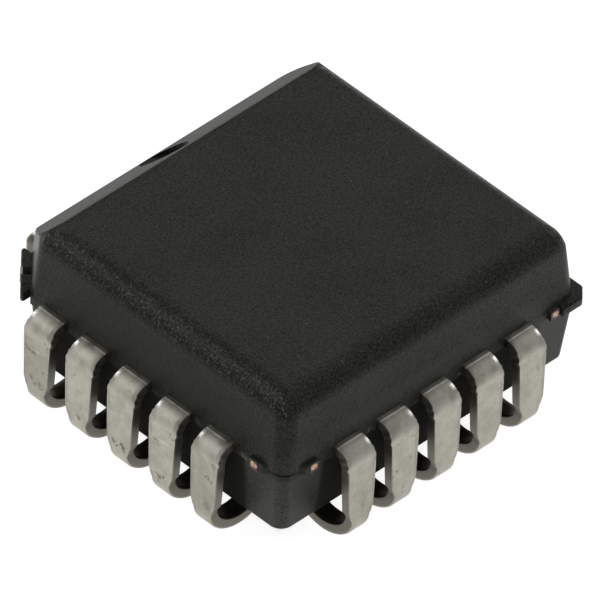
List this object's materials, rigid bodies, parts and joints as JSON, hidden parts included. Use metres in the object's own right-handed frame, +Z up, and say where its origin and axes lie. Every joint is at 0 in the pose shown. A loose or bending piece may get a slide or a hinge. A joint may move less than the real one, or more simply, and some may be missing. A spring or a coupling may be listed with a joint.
{
  "type": "plastic leaded chip carrier",
  "caption": "Square surface-mount chip package: a moulded resin body with J-shaped tinned leads along all four sides, a bevel and a dimple at the lead 1 side.",
  "frame": {"origin": "on the board under the middle of the part, level with the lowest points of the leads", "axes": "+Z up, out of the flat top; +Y towards the side with lead 1, the bevel and the dimple; +X so that the cut corner lies between +Y and -X"},
  "size_m": [0.0098, 0.0098, 0.0044],
  "materials": {
    "resin": "matte, finely grained as moulded",
    "tinned_copper": "satin tin plating on copper, lightly scuffed",
    "copper": "bare copper, dull",
    "adhesive": "silver-filled paste, matte",
    "silicon": "polished silicon",
    "gold": "drawn gold wire"
  },
  "bodies": {
    "root": {"body": "resin", "die_paddle": "copper", "die_adhesive": "adhesive", "die": "silicon", "lead_01": "tinned_copper", "lead_02": "tinned_copper", "lead_03": "tinned_copper", "lead_04": "tinned_copper", "lead_05": "tinned_copper", "lead_06": "tinned_copper", "lead_07": "tinned_copper", "lead_08": "tinned_copper", "lead_09": "tinned_copper", "lead_10": "tinned_copper", "lead_11": "tinned_copper", "lead_12": "tinned_copper", "lead_13": "tinned_copper", "lead_14": "tinned_copper", "lead_15": "tinned_copper", "lead_16": "tinned_copper", "lead_17": "tinned_copper", "lead_18": "tinned_copper", "lead_19": "tinned_copper", "lead_20": "tinned_copper", "wire_01": "gold", "wire_02": "gold", "wire_03": "gold", "wire_04": "gold", "wire_05": "gold", "wire_06": "gold", "wire_07": "gold", "wire_08": "gold", "wire_09": "gold", "wire_10": "gold", "wire_11": "gold", "wire_12": "gold", "wire_13": "gold", "wire_14": "gold", "wire_15": "gold", "wire_16": "gold", "wire_17": "gold", "wire_18": "gold", "wire_19": "gold", "wire_20": "gold"}
  },
  "joints": []
}
